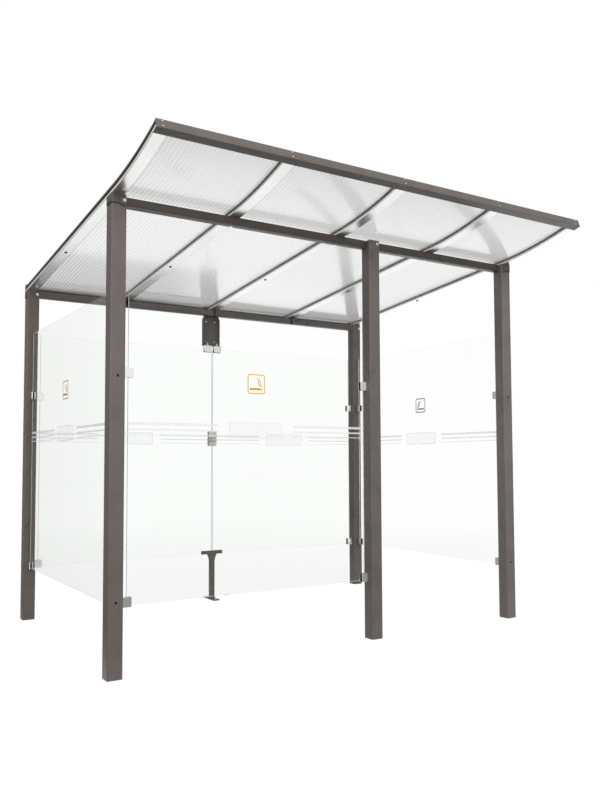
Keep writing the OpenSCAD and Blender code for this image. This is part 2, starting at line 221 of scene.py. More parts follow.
shaded_sleeve_coat = powder_coat("powder_coat_grey_brown_sleeve_shade", "#5a524c", "#504944")
for corner in corners:
    dressed_copy("sleeve_" + corner, "corner_sleeve_" + corner, shaded_sleeve_coat,
                 sleeve_edge)


def painted_shadow_bead(corner, finish):
    """Black bead under the lower edge of a sleeve, as wide as its plate: painted shadow under the
    edge.
    """
    form = merged_form("sleeve_" + corner)
    not_under = [face for face in form.faces if face.normal.z > -0.3]
    bmesh.ops.delete(form, geom=not_under, context="FACES")
    for part in bmesh.ops.extrude_face_region(form, geom=form.faces[:])["geom"]:
        if isinstance(part, bmesh.types.BMVert):
            part.co.z -= bead_height
    bead = show_mesh("shadow_bead_" + corner, closed_mesh("bead", form), [finish])
    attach(bead, "root")


def moulded_rubber(name, main, roughness):
    """Rubber and soft plastic: dull, with a fine bloom, about 2 mm from patch to patch."""
    finish, tree, place = new_finish(name)
    bloom = add_node(tree, "ShaderNodeTexNoise", {
        "Vector": place, "Scale": 1000 / 2, "Detail": 3.0})
    grained_surface(tree, bloom, bloom, roughness, (0.08, 0.08), 0.3, 0.0001, {
        "Base Color": srgb(main), "IOR": 1.45, "Specular IOR Level": 0.15})
    return finish


# A black bead under each sleeve's lower edge is painted shadow
shadow_black = moulded_rubber("black_painted_shadow", "#161615", 0.5)
for corner in corners:
    painted_shadow_bead(corner, shadow_black)


def open_tree(name, sizes):
    """Geometry node tree that takes a geometry, named sizes and a finish."""
    tree = bpy.data.node_groups.new(name, "GeometryNodeTree")
    for label, kind in (("Geometry", "Geometry"), *sizes.items(), ("Finish", "Material")):
        tree.interface.new_socket(label, in_out="INPUT", socket_type="NodeSocket" + kind)
    tree.interface.new_socket("Geometry", in_out="OUTPUT", socket_type="NodeSocketGeometry")
    return tree, add_node(tree, "NodeGroupInput").outputs


def end_tree(tree, given, copies):
    """Ends a tree with its copies made real and given their finish."""
    real = add_node(tree, "GeometryNodeRealizeInstances", {"Geometry": copies})
    dressed = add_node(tree, "GeometryNodeSetMaterial", {
        "Geometry": real, "Material": given["Finish"]})
    add_node(tree, "NodeGroupOutput", {"Geometry": dressed})
    return tree


def head_tree():
    """Screw heads with a hexagon socket, one on each point, facing along its axis.
    A hexagon's corners lie 0.577 of its width across the flats from its middle."""
    tree, given = open_tree("screw_heads", {
        "Head Width": "Float", "Head Height": "Float", "Socket Width": "Float"})
    width, height = given["Head Width"], given["Head Height"]
    tall = add_node(tree, "ShaderNodeMath", {0: height, 1: 2.0}, operation="MULTIPLY")
    size = add_node(tree, "ShaderNodeCombineXYZ", {0: width, 1: width, 2: tall})
    ball = add_node(tree, "GeometryNodeMeshUVSphere", {
        "Segments": 18, "Rings": 10, "Radius": 0.5})
    dome = add_node(tree, "GeometryNodeTransform", {"Geometry": ball, "Scale": size})
    reach = add_node(tree, "ShaderNodeMath", {0: given["Socket Width"], 1: 0.577},
                     operation="MULTIPLY")
    raised = add_node(tree, "ShaderNodeCombineXYZ", {2: height})
    key = add_node(tree, "GeometryNodeMeshCylinder", {
        "Vertices": 6, "Radius": reach, "Depth": height})
    key_up = add_node(tree, "GeometryNodeTransform", {"Geometry": key, "Translation": raised})
    head = add_node(tree, "GeometryNodeMeshBoolean", {0: dome, 1: key_up},
                    operation="DIFFERENCE")
    axis = add_node(tree, "GeometryNodeInputNamedAttribute", {"Name": "axis"},
                    data_type="FLOAT_VECTOR")
    turn = add_node(tree, "FunctionNodeAlignRotationToVector", {"Vector": axis}, axis="Z")
    spread = add_node(tree, "GeometryNodeInstanceOnPoints", {
        "Points": given["Geometry"], "Instance": head, "Rotation": turn})
    return end_tree(tree, given, spread)


def grow(name, mesh, tree, inputs):
    """Mesh that a tree makes from a start mesh, its inputs set by their identifiers."""
    piece = show_mesh(name + "_start", mesh, [])
    step = piece.modifiers.new("grow", "NODES")
    step.node_group = tree
    for item in tree.interface.items_tree:
        if item.item_type == "SOCKET" and item.in_out == "INPUT" and item.name in inputs:
            step[item.identifier] = inputs[item.name]
    return plain_mesh(piece)


screw_heads = head_tree()


def place_heads(name, spots, finish, width, height, socket):
    """Piece with a screw head at each spot: a point and the direction it faces."""
    mesh = bpy.data.meshes.new(name)
    mesh.from_pydata([point for point, _ in spots], [], [])
    axis = mesh.attributes.new("axis", "FLOAT_VECTOR", "POINT")
    axis.data.foreach_set("vector", [c for _, facing in spots for c in facing])
    mesh = grow(name, mesh, screw_heads, {
        "Head Width": width, "Head Height": height, "Socket Width": socket, "Finish": finish})
    shade_by_angle(mesh)
    piece = show_mesh(name, mesh, [finish])
    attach(piece, "root")


def turned_steel(name, main, roughness):
    """Stainless steel as the cold-headed screw has it: bright, with the faint rings,
    0.6 mm apart, that the die leaves, and small differences in gloss."""
    finish, tree, place = new_finish(name)
    rings = add_node(tree, "ShaderNodeTexNoise", {
        "Vector": place, "Scale": 1000 / 0.6, "Detail": 1.0})
    grained_surface(tree, rings, rings, roughness, (0.05, 0.08), 0.2, 0.00005, {
        "Base Color": srgb(main), "Metallic": 1.0})
    return finish


# Button-head bolts that join the posts to the beams, and the sleeve to the left front
# post, each set in from the outer face of the frame or of its post
screw_steel = turned_steel("stainless_steel_screw", "#d4d4d0", 0.28)
bolt_steel = turned_steel("stainless_steel_bolt", "#f6f6f4", 0.36)
to_front, upwards = (0, -1, 0), (0, 0, 1)
inner_rear_face = rear_y - post_side
middle_left_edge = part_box("post_front_middle")[0][0]
middle_right_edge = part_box("post_front_middle")[1][0]
sleeve_bolt_z, middle_bolt_z, rear_bolt_z = 2.101, 2.108, 1.955
place_heads("post_bolts", [
    ((frame_x0 + 0.059, front_y - sleeve_plate, sleeve_bolt_z), to_front),
    ((middle_right_edge - 0.0145, front_y, middle_bolt_z), to_front),
    ((frame_x0 + 0.057, inner_rear_face, rear_bolt_z), to_front),
    ((frame_x1 - 0.012, inner_rear_face, rear_bolt_z), to_front),
], bolt_steel, width=0.018, height=0.006, socket=0.006)

# ---------------------------------------------------------------- beams
# Tubes between the posts under the front and rear of the roof, cut on a slope to
# follow it and slotted for drainage. Powder coated with the posts, bolted to them.

# The front beams' coat is a darker copy of the posts': painted shade under the upturned roof
shaded_beam_coat = powder_coat("powder_coat_grey_brown_beam_shade", "#4d4641", "#443e39")
beam_edge = 0.0012
for name, finish in (("front_beam_left", shaded_beam_coat), ("front_beam_right", shaded_beam_coat),
                     ("rear_beam", post_coat)):
    dressed_copy(name, name + "_tube", finish, beam_edge)

# ---------------------------------------------------------------- glazing bars
# Lower halves of the bars that carry the roof sheets: extruded aluminium, bright mill
# finish, bent to the roof's curve. Grey seals run along both sides of each bar.


def bright_extrusion(name, main, metallic, roughness):
    """Mill-finish aluminium: mirror-like, with the fine lines, 0.8 mm apart, that the
    die draws along the bar, drawn twice as coarse as real ones. With no metallic share
    it is matt and doesn't mirror as metal."""
    finish, tree, place = new_finish(name)
    drawn = add_node(tree, "ShaderNodeMapping", {
        "Vector": place, "Scale": (1000 / 0.8, 1000 / 250, 1000 / 250)})
    lines = add_node(tree, "ShaderNodeTexNoise", {"Vector": drawn, "Scale": 1.0, "Detail": 2.0})
    grained_surface(tree, lines, lines, roughness, (0.05, 0.05), 0.15, 0.00008, {
        "Base Color": srgb(main), "Metallic": metallic})
    return finish


bar_metal = bright_extrusion("mill_finish_aluminium", "#fdfdfc", 1.0, 0.26)
# The sides of the bars have a matt, light copy of the aluminium that doesn't mirror: painted light
# on their shaded sides
lit_bar_side = bright_extrusion("matt_aluminium_painted_light", "#f2f1ee", 0.0, 0.50)
seal_rubber = moulded_rubber("epdm_rubber", "#1d1d1c", 0.55)
bar_seal_rubber = moulded_rubber("grey_epdm_rubber", "#959491", 0.55)

# The roof's own lines: s runs rearwards along the top from the foot of the upturned
# part, and t is the depth below the top
roof_slope, roof_radius = math.radians(5.45), 2.300
upturn_length, rear_length = 0.516, 1.600 / math.cos(roof_slope)
cap_height, sheet_height, bar_height = 0.014, 0.010, 0.013
roof_depth = cap_height + sheet_height + bar_height
roof_under = 2.1275
roof_top = roof_under + roof_depth / math.cos(roof_slope)
bar_width, bar_edge = 0.060, 0.0040


def roof_angle(s):
    """Slope of the roof at a place along it."""
    return roof_slope - min(s, 0) / roof_radius


def roof_point(s, t):
    """Y and Z of a point of the roof."""
    if s >= 0:
        return (front_y + s * math.cos(roof_slope) - t * math.sin(roof_slope),
                roof_top - s * math.sin(roof_slope) - t * math.cos(roof_slope))
    a, r = roof_angle(s), roof_radius + t
    return (front_y + roof_radius * math.sin(roof_slope) - r * math.sin(a),
            roof_top + roof_radius * math.cos(roof_slope) - r * math.cos(a))


def close_rings(form, rings):
    """Joins rings of points, one behind the other, into a closed body."""
    for near, far in zip(rings, rings[1:]):
        for i in range(len(near)):
            j = (i + 1) % len(near)
            form.faces.new((near[i], near[j], far[j], far[i]))
    form.faces.new(rings[0][::-1])
    form.faces.new(rings[-1])


def roof_strip(form, x0, x1, t0, t1, bends=24):
    """Adds a closed strip that follows the roof from end to end, from depth t0 to t1."""
    rings = []
    for s in [-upturn_length * (1 - i / bends) for i in range(bends)] + [0.0, rear_length]:
        (ya, za), (yb, zb) = roof_point(s, t0), roof_point(s, t1)
        strip = ((x0, ya, za), (x1, ya, za), (x1, yb, zb), (x0, yb, zb))
        rings.append([form.verts.new(point) for point in strip])
    close_rings(form, rings)


bar_middles = []
for i in range(1, 6):
    low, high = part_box("glazing_bar_%d" % i)
    bar_middles.append((low[0] + high[0]) / 2)

# The bar's metal stops 2 mm short of the sheets, on the seals that run along its edges
seal_width, seal_height, seal_inset = 0.006, 0.002, 0.0005
sheet_under = cap_height + sheet_height
for i, middle in enumerate(bar_middles, 1):
    form = bmesh.new()
    roof_strip(form, middle - bar_width / 2, middle + bar_width / 2,
               sheet_under + seal_height, roof_depth)
    bar = ease_edges("lower_bar_%d" % i, closed_mesh("lower_bar", form),
                     [bar_metal, lit_bar_side], bar_edge)
    for face in bar.data.polygons:
        face.material_index = 1 if abs(face.normal.x) > 0.6 else 0
    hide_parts("glazing_bar_%d" % i)
    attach(bar, "root")

form = bmesh.new()
for middle in bar_middles:
    for side in (-1, 1):
        edge = middle + side * (bar_width / 2 - seal_inset)
        inner = edge - side * seal_width
        roof_strip(form, min(edge, inner), max(edge, inner),
                   sheet_under, sheet_under + seal_height)
seals = show_mesh("bar_seals", closed_mesh("bar_seals", form), [bar_seal_rubber])
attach(seals, "root")

# One black screw cap under each bar, halfway along the straight part
cap_plastic = moulded_rubber("black_nylon_cap", "#141414", 0.4)
cap_distance = 0.826
cap_y, cap_z = roof_point(cap_distance / math.cos(roof_slope), roof_depth)
off_the_bar = (0, -math.sin(roof_slope), -math.cos(roof_slope))
place_heads("bar_screw_caps", [((middle, cap_y, cap_z), off_the_bar) for middle in bar_middles],
            cap_plastic, width=0.016, height=0.005, socket=0.005)

# ---------------------------------------------------------------- roof sheets
# Four 10 mm sheets of clear multiwall polycarbonate with walls 20 mm apart that run
# down the slope. They lie on the bars and are clamped by the caps.

wall_pitch, wall_thickness, skin_thickness, wall_margin = 0.020, 0.0005, 0.0006, 0.004


def multiwall_skin(name, steep_tone, flat_tone, milk_share, roughness):
    """Polycarbonate skin: glossy on both of its faces, so it mirrors strongly at a low
    angle, with a swell over each wall and the extruded sheet's waviness, about 90 mm
    long. The upper skin is opal, scatters the daylight, and looks milkier squarely."""
    finish, tree, place = new_finish(name)
    apart = add_node(tree, "ShaderNodeSeparateXYZ", {0: place})
    turns = add_node(tree, "ShaderNodeMath", {
        0: apart.outputs["X"], 1: 2 * math.pi / wall_pitch}, operation="MULTIPLY")
    swell = add_node(tree, "ShaderNodeMath", {0: turns}, operation="SINE")
    wave = add_node(tree, "ShaderNodeTexNoise", {
        "Vector": place, "Scale": 1000 / 90, "Detail": 0.0})
    height = add_node(tree, "ShaderNodeMath", {0: wave, 1: 0.5, 2: swell},
                      operation="MULTIPLY_ADD")
    skin = add_node(tree, "ShaderNodeBump", {
        "Height": height, "Strength": 0.3, "Distance": 0.0001})
    facing = add_node(tree, "ShaderNodeLayerWeight", {
        "Blend": 0.5, "Normal": skin}).outputs["Facing"]
    low_angle = add_node(tree, "ShaderNodeMapRange", {
        "Value": facing, "From Min": 0.40, "From Max": 0.66})
    tone = add_node(tree, "ShaderNodeMix", {
        0: low_angle, 6: srgb(steep_tone), 7: srgb(flat_tone)}, data_type="RGBA")
    through = add_node(tree, "ShaderNodeBsdfTransparent", {"Color": tone})
    scatter = add_node(tree, "ShaderNodeBsdfTranslucent", {"Color": tone})
    body = add_node(tree, "ShaderNodeMixShader", {0: milk_share, 1: through, 2: scatter})
    gloss = add_node(tree, "ShaderNodeBsdfGlossy", {
        "Color": srgb("#fdfdfd"), "Roughness": roughness, "Normal": skin})
    steep = add_node(tree, "ShaderNodeMath", {0: facing, 1: 5.0}, operation="POWER")
    share = add_node(tree, "ShaderNodeMath", {0: steep, 1: 1.35, 2: 0.08},
                     operation="MULTIPLY_ADD")
    sheet = add_node(tree, "ShaderNodeMixShader", {0: share, 1: body, 2: gloss})
    add_node(tree, "ShaderNodeOutputMaterial", {"Surface": sheet})
    return finish


def multiwall_wall():
    """Inner wall of the same polycarbonate: clear, with a cloudiness of 15 mm, but grey
    where it is looked at along its face, because the way through it is then long."""
    finish, tree, place = new_finish("clear_polycarbonate_inner_wall")
    cloud = add_node(tree, "ShaderNodeTexNoise", {
        "Vector": place, "Scale": 1000 / 15, "Detail": 1.0})
    tint = add_node(tree, "ShaderNodeMix", {
        0: cloud, 6: srgb("#fbfbfb"), 7: srgb("#fefefe")}, data_type="RGBA")
    facing = add_node(tree, "ShaderNodeLayerWeight", {"Blend": 0.5}).outputs["Facing"]
    along = add_node(tree, "ShaderNodeMapRange", {
        "Value": facing, "From Min": 0.60, "From Max": 0.74})
    long_way = add_node(tree, "ShaderNodeMix", {
        0: along, 6: tint, 7: srgb("#f5f5f5")}, data_type="RGBA")
    through = add_node(tree, "ShaderNodeBsdfTransparent", {"Color": long_way})
    haze = add_node(tree, "ShaderNodeBsdfTranslucent", {"Color": srgb("#f6f6f6")})
    wall = add_node(tree, "ShaderNodeMixShader", {0: 0.04, 1: through, 2: haze})
    add_node(tree, "ShaderNodeOutputMaterial", {"Surface": wall})
    return finish


def wall_tree():
    """Row of inner walls: copies of one wall side by side along X."""
    tree, given = open_tree("sheet_walls", {"Wall Pitch": "Float", "Wall Count": "Int"})
    step = add_node(tree, "ShaderNodeCombineXYZ", {0: given["Wall Pitch"]})
    row = add_node(tree, "GeometryNodeMeshLine", {
        "Count": given["Wall Count"], "Offset": step}, mode="OFFSET")
    walls = add_node(tree, "GeometryNodeInstanceOnPoints", {
        "Points": row, "Instance": given["Geometry"]})
    return end_tree(tree, given, walls)


lower_skin = multiwall_skin("clear_polycarbonate_skin", "#fbfbfb", "#fdfdfd", 0.03, 0.13)
upper_skin = multiwall_skin("opal_polycarbonate_skin", "#dedede", "#f8f8f8", 0.80, 0.20)
inner_wall = multiwall_wall()
sheet_walls = wall_tree()
for i in range(1, 5):
    low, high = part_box("roof_sheet_%d" % i)
    form = bmesh.new()
    roof_strip(form, low[0], high[0], cap_height, sheet_under)
    sheet = show_mesh("multiwall_sheet_%d" % i, closed_mesh("multiwall_sheet", form),
                      [lower_skin, upper_skin])
    shade_by_angle(sheet.data)
    for face in sheet.data.polygons:
        face.material_index = 1 if face.normal.z > 0.5 else 0
    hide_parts("roof_sheet_%d" % i)
    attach(sheet, "root")
    # Walls stand on the crests of the skin's swell, a quarter of the pitch past each
    # whole step
    crest = 0.25
    first = math.ceil((low[0] + wall_margin) / wall_pitch - crest) + crest
    last = math.floor((high[0] - wall_margin) / wall_pitch - crest) + crest
    form = bmesh.new()
    wall_x = first * wall_pitch
    roof_strip(form, wall_x - wall_thickness / 2, wall_x + wall_thickness / 2,
               cap_height + skin_thickness, sheet_under - skin_thickness, bends=12)
    mesh = grow("sheet_walls_%d" % i, closed_mesh("sheet_wall", form), sheet_walls, {
        "Wall Pitch": wall_pitch, "Wall Count": int(round(last - first)) + 1,
        "Finish": inner_wall})
    walls = show_mesh("sheet_walls_%d" % i, mesh, [inner_wall])
    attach(walls, "root")

# ---------------------------------------------------------------- bar caps
# Upper halves of the glazing bars, extruded aluminium with stepped edges, powder
# coated to match the frame. Screws at 310 mm pull them down onto the sheets.

cap_coat = powder_coat("powder_coat_grey_brown_cap", "#635d59", "#5a5551")
cap_edge = 0.0008
for i in range(1, 6):
    dressed_copy("bar_cap_%d" % i, "cap_%d" % i, cap_coat, cap_edge)
first_screw, screw_pitch, screws_per_cap = -0.42, 0.31, 7
cap_screws = []
for middle in bar_middles:
    for k in range(screws_per_cap):
        s = first_screw + k * screw_pitch
        cap_screws.append(((middle, *roof_point(s, 0.0)),
                           (0, math.sin(roof_angle(s)), math.cos(roof_angle(s)))))
place_heads("cap_screws", cap_screws, screw_steel,
            width=0.011, height=0.0035, socket=0.004)

# Rubber profiles that close the outer grooves of the two end bars
dressed_copy("edge_gaskets", "end_bar_gaskets", seal_rubber, cap_edge)

# ---------------------------------------------------------------- edge bars
# Pressed aluminium angles along the front and rear edges of the roof, powder coated.
# They close the ends of the sheets and are screwed to the end of each glazing bar.

for edge in ("front", "rear"):
    dressed_copy(edge + "_edge_bar", edge + "_edge_angle", cap_coat,
                 cap_edge)
edge_wall, edge_screw_depths, end_margin = 0.003, (0.007, 0.029), 0.019
edge_screws = []
for s, out in ((-upturn_length, -1), (rear_length, 1)):
    facing = (0, out * math.cos(roof_angle(s)), -out * math.sin(roof_angle(s)))
    for middle in bar_middles:
        x = max(frame_x0 + end_margin, min(frame_x1 - end_margin, middle))
        for depth in edge_screw_depths:
            edge_screws.append(((x, *roof_point(s + out * edge_wall, depth)), facing))
place_heads("edge_bar_screws", edge_screws, screw_steel,
            width=0.009, height=0.003, socket=0.0035)

# ---------------------------------------------------------------- glass walls
# Panes of 8 mm clear tempered glass with flat polished edges. They hang in clamps
# between the posts, and the two rear panes meet in the middle with a 7 mm joint.


def tempered_glass():
    """Soda-lime glass: clear with a trace of green, mirror-smooth, with the roller wave
    that tempering leaves, about 250 mm from crest to crest. It lets lamps and soft
    light through to what stands behind it. Its IOR is under the real 1.5, because in
    this plain light it would mirror too strongly."""
    finish, tree, place = new_finish("clear_tempered_glass")
    wave = add_node(tree, "ShaderNodeTexNoise", {
        "Vector": place, "Scale": 1000 / 250, "Detail": 0.0})
    roll = add_node(tree, "ShaderNodeBump", {
        "Height": wave, "Strength": 0.05, "Distance": 0.0005})
    body = add_node(tree, "ShaderNodeBsdfPrincipled", {
        "Base Color": srgb("#fdfefd"), "Roughness": 0.0, "IOR": 1.14,
        "Transmission Weight": 1.0, "Normal": roll})
    clear = add_node(tree, "ShaderNodeBsdfTransparent", {"Color": srgb("#f6f7f6")})
    path = add_node(tree, "ShaderNodeLightPath").outputs
    soft = add_node(tree, "ShaderNodeMixShader", {0: path["Is Diffuse Ray"], 1: body, 2: clear})
    pane = add_node(tree, "ShaderNodeMixShader", {0: path["Is Shadow Ray"], 1: soft, 2: clear})
    add_node(tree, "ShaderNodeOutputMaterial", {"Surface": pane})
    return finish


def polished_edge(name, body_share):
    """Edge of the same glass: the long path through it shows as grey green, and the
    grinding belt leaves lines about 1 mm apart, drawn coarser than real. The smaller
    the body's share, the more of what is behind shows through."""
    finish, tree, place = new_finish(name)
    ground = add_node(tree, "ShaderNodeTexNoise", {
        "Vector": place, "Scale": 1000 / 1.0, "Detail": 1.0})
    tone = add_node(tree, "ShaderNodeMix", {
        0: ground, 6: srgb("#a9b8b2"), 7: srgb("#c3d0ca")}, data_type="RGBA")
    edge = add_node(tree, "ShaderNodeBsdfPrincipled", {
        "Base Color": tone, "Roughness": 0.18, "IOR": 1.5, "Transmission Weight": 0.35})
    clear = add_node(tree, "ShaderNodeBsdfTransparent", {"Color": srgb("#fafbfa")})
    polished = add_node(tree, "ShaderNodeMixShader", {0: body_share, 1: clear, 2: edge})
    add_node(tree, "ShaderNodeOutputMaterial", {"Surface": polished})
    return finish


def add_box(form, low, high):
    """Adds a closed box between two corners."""
    for v in bmesh.ops.create_cube(form, size=1.0)["verts"]:
        v.co = Vector([(low[i] + high[i]) / 2 + v.co[i] * (high[i] - low[i]) for i in range(3)])


glass = tempered_glass()
upright_edge = polished_edge("polished_glass_edge", 1.0)
# Level edges have a mostly clear copy of the edge, so they hardly show: painted light from the sky
# they catch
sky_lit_level_edge = polished_edge("polished_glass_edge_level_painted_light", 0.08)
pane_bevel = 0.001
# Each pane, and the axis along which it is thin
panes = {"front": 1, "left": 0, "right": 0, "rear_left": 1, "rear_right": 1}
for side, thin in panes.items():
    form = bmesh.new()
    add_box(form, *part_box("glass_" + side))
    pane = ease_edges("pane_" + side, closed_mesh("pane", form),
                      [glass, upright_edge, sky_lit_level_edge], pane_bevel, 1)
    for face in pane.data.polygons:
        on_edge = 2 if abs(face.normal.z) > 0.3 else 1
        face.material_index = 0 if abs(face.normal[thin]) > 0.9 else on_edge
    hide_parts("glass_" + side)
    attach(pane, "root")

# ---------------------------------------------------------------- bands on the glass
# Strips of frosted film on the outer face of each pane, so that people see the glass:
# three lines of falling width, with a plain framed field in the middle of the pane.


def frosted_film(name, main, cover):
    """Frosted vinyl film: matt and milky, with a grain of about 1 mm. It is lit from both
    of its sides, and so thin that some of what is behind shows through."""
    finish, tree, place = new_finish(name)
    grain = add_node(tree, "ShaderNodeTexNoise", {
        "Vector": place, "Scale": 1000 / 1.0, "Detail": 2.0})
    milk = add_node(tree, "ShaderNodeMapRange", {
        "Value": grain, "From Min": 0.3, "From Max": 0.7,
        "To Min": cover - 0.05, "To Max": cover + 0.05})
    face = add_node(tree, "ShaderNodeBsdfPrincipled", {
        "Base Color": srgb(main), "Roughness": 0.55, "IOR": 1.45})
    lit_through = add_node(tree, "ShaderNodeBsdfTranslucent", {"Color": srgb(main)})
    vinyl = add_node(tree, "ShaderNodeMixShader", {0: 0.5, 1: face, 2: lit_through})
    clear = add_node(tree, "ShaderNodeBsdfTransparent", {"Color": srgb("#ffffff")})
    film = add_node(tree, "ShaderNodeMixShader", {0: milk, 1: clear, 2: vinyl})
    add_node(tree, "ShaderNodeOutputMaterial", {"Surface": film})
    return finish


film_line = frosted_film("frosted_vinyl_line", "#fcfcfc", 0.52)
film_field = frosted_film("frosted_vinyl_field", "#fafbfa", 0.07)
film_thickness, film_lift, film_margin = 0.0002, 0.00005, 0.001
line_heights = ((1.103, 1.115), (1.078, 1.086), (1.056, 1.060))
field_low, field_high, field_half, field_frame = 1.047, 1.127, 0.150, 0.004
lines_start = 0.205      # from the middle of the pane
middle_gap = 0.032       # from the joint of the rear panes, round its connector


def film_box(form, side, u0, u1, z0, z1):
    """Adds a rectangle of film on the outer face of a pane, from u0 to u1 along it."""
    low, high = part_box("glass_" + side)
    thin = panes[side]
    outward = 1 if (low[thin] + high[thin]) > 0 else -1
    face = high[thin] if outward > 0 else low[thin]
    near, far = [u0, u0, z0], [u1, u1, z1]
    near[thin], far[thin] = sorted((face + outward * film_lift,
                                    face + outward * (film_lift + film_thickness)))
    add_box(form, near, far)


for side, thin in panes.items():
    low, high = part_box("glass_" + side)
    u0, u1 = low[1 - thin], high[1 - thin]
    centre = (u0 + u1) / 2
    if side == "rear_left":
        u1 = -middle_gap
    if side == "rear_right":
        u0 = middle_gap
    lines, field = bmesh.new(), bmesh.new()
    for z0, z1 in line_heights:
        film_box(lines, side, u0 + film_margin, centre - lines_start, z0, z1)
        film_box(lines, side, centre + lines_start, u1 - film_margin, z0, z1)
    f0, f1, w = centre - field_half, centre + field_half, field_frame
    inner_low, inner_high = field_low + w, field_high - w
    film_box(lines, side, f0, f1, inner_high, field_high)
    film_box(lines, side, f0, f1, field_low, inner_low)
    film_box(lines, side, f0, f0 + w, inner_low, inner_high)
    film_box(lines, side, f1 - w, f1, inner_low, inner_high)
    film_box(field, side, f0 + w, f1 - w, inner_low, inner_high)
    for label, form, finish in (("lines", lines, film_line), ("field", field, film_field)):
        film = show_mesh("band_%s_%s" % (label, side), closed_mesh(label, form), [finish])
        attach(film, "root")

# ---------------------------------------------------------------- smoking-area signs
# Plain pictograms cut from orange film with a grey and olive back: a cigarette with its
# smoke in a rounded frame, one each on the front pane and on the two side panes.


def coloured_film(name, main, deep):
    """Cast vinyl film: even, half glossy, with a trace of the glue's speckle, 2 mm."""
    finish, tree, place = new_finish(name)
    speckle = add_node(tree, "ShaderNodeTexNoise", {
        "Vector": place, "Scale": 1000 / 2.0, "Detail": 2.0})
    tone = add_node(tree, "ShaderNodeMix", {
        0: speckle, 6: srgb(deep), 7: srgb(main)}, data_type="RGBA")
    vinyl = add_node(tree, "ShaderNodeBsdfPrincipled", {
        "Base Color": tone, "Roughness": 0.4, "IOR": 1.46})
    add_node(tree, "ShaderNodeOutputMaterial", {"Surface": vinyl})
    return finish


def rounded_rect(x0, y0, x1, y1, r, steps=5):
    """Outline of a rectangle with round corners."""
    points = []
    for cx, cy, start in ((x1 - r, y1 - r, 0), (x0 + r, y1 - r, 90),
                          (x0 + r, y0 + r, 180), (x1 - r, y0 + r, 270)):
        for k in range(steps + 1):
            a = math.radians(start + 90 * k / steps)
            points.append((cx + r * math.cos(a), cy + r * math.sin(a)))
    return points


def leaf_outline(x0, y0, x1, y1, width, bend=0.004, steps=10):
    """Outline of a leaf between two points, bent like an S, for a curl of smoke."""
    along, up = x1 - x0, y1 - y0
    length = math.hypot(along, up)
    near, far = [], []
    for k in range(1, steps):
        f = k / steps
        half = width / 2 * math.sin(math.pi * f)
        lean = bend * math.sin(2 * math.pi * f)
        for points, off in ((near, lean + half), (far, lean - half)):
            points.append((x0 + along * f - up / length * off,
                           y0 + up * f + along / length * off))
    return [(x0, y0)] + near + [(x1, y1)] + far[::-1]


def cut_film(name, outlines, place, finish):
    """Piece of film in flat shapes, given by their outlines and holes, stood on a pane."""
    curve = bpy.data.curves.new(name, "CURVE")
    curve.dimensions = "2D"
    curve.fill_mode = "BOTH"
    curve.extrude = film_thickness / 2
    for outline in outlines:
        spline = curve.splines.new("POLY")
        spline.points.add(len(outline) - 1)
        for point, (u, v) in zip(spline.points, outline):
            point.co = (u, v, 0, 1)
        spline.use_cyclic_u = True
    flat = bpy.data.objects.new(name + "_flat", curve)
    bpy.context.scene.collection.objects.link(flat)
    mesh = plain_mesh(flat)
    bpy.data.curves.remove(curve)
    form = bmesh.new()
    form.from_mesh(mesh)
    bpy.data.meshes.remove(mesh)
    bmesh.ops.remove_doubles(form, verts=form.verts, dist=0.000005)
    form.transform(place)
    film = show_mesh(name, closed_mesh(name, form), [finish])
    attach(film, "root")


orange_light = coloured_film("orange_vinyl_light", "#e2b84c", "#daac40")
orange_deep = coloured_film("orange_vinyl_deep", "#cc9e1e", "#c29516")
grey_back = coloured_film("grey_vinyl_back", "#6f6b66", "#625e5a")
olive_back = coloured_film("olive_vinyl_back", "#aa9c44", "#9e913c")
sign_height, sign_half, sign_line = 1.314, 0.0490, 0.006
back_lift, face_lift = 0.0002, 0.0005
frame_lines = [rounded_rect(-half, -half, half, half, radius)
               for half, radius in ((sign_half, 0.012), (sign_half - sign_line, 0.007))]
smoke_lines = [leaf_outline(0.034, -0.014, 0.000, 0.029, width=0.017),
               leaf_outline(0.026, -0.003, 0.007, 0.021, width=0.007)]
cigarette_low, cigarette_high, cigarette_corner = -0.0295, -0.0190, 0.0015
cigarette, glowing_tip = [
    [rounded_rect(x0, cigarette_low, x1, cigarette_high, cigarette_corner, 2)]
    for x0, x1 in ((-0.037, 0.024), (0.026, 0.034))]
for side in ("front", "left", "right"):
    low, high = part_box("glass_" + side)
    thin = panes[side]
    outward = Vector((0, 0, 0))
    outward[thin] = 1 if low[thin] > 0 else -1
    across = Vector(upwards).cross(outward)
    middle = Vector([(low[i] + high[i]) / 2 for i in range(3)])
    middle[thin] = high[thin] if low[thin] > 0 else low[thin]
    middle.z = sign_height
    for layer, lift, light, deep in (("back", back_lift, grey_back, olive_back),
                                     ("face", face_lift, orange_light, orange_deep)):
        place = Matrix((across, Vector(upwards), outward)).transposed().to_4x4()
        place.translation = middle + outward * lift
        cut_film("sign_%s_%s_light" % (side, layer), frame_lines + smoke_lines + glowing_tip,
                 place, light)
        cut_film("sign_%s_%s_deep" % (side, layer), cigarette, place, deep)

# ---------------------------------------------------------------- glass clamps
# Cast stainless blocks screwed to the posts, finely brushed, with a groove that grips
# the glass between rubber liners. The liners end in a lip round the mouth of the groove.


def brushed_steel(name, main, roughness):
    """Brushed metal, as on stainless steel: fine level scratches, 0.5 mm apart and about
    30 mm long, drawn coarser than real so that they show."""
    finish, tree, place = new_finish(name)
    stroke = add_node(tree, "ShaderNodeMapping", {
        "Vector": place, "Scale": (1000 / 30, 1000 / 30, 1000 / 0.5)})
    lines = add_node(tree, "ShaderNodeTexNoise", {"Vector": stroke, "Scale": 1.0, "Detail": 2.0})
    grained_surface(tree, lines, lines, roughness, (0.06, 0.08), 0.3, 0.00006, {
        "Base Color": srgb(main), "Metallic": 1.0})
    return finish


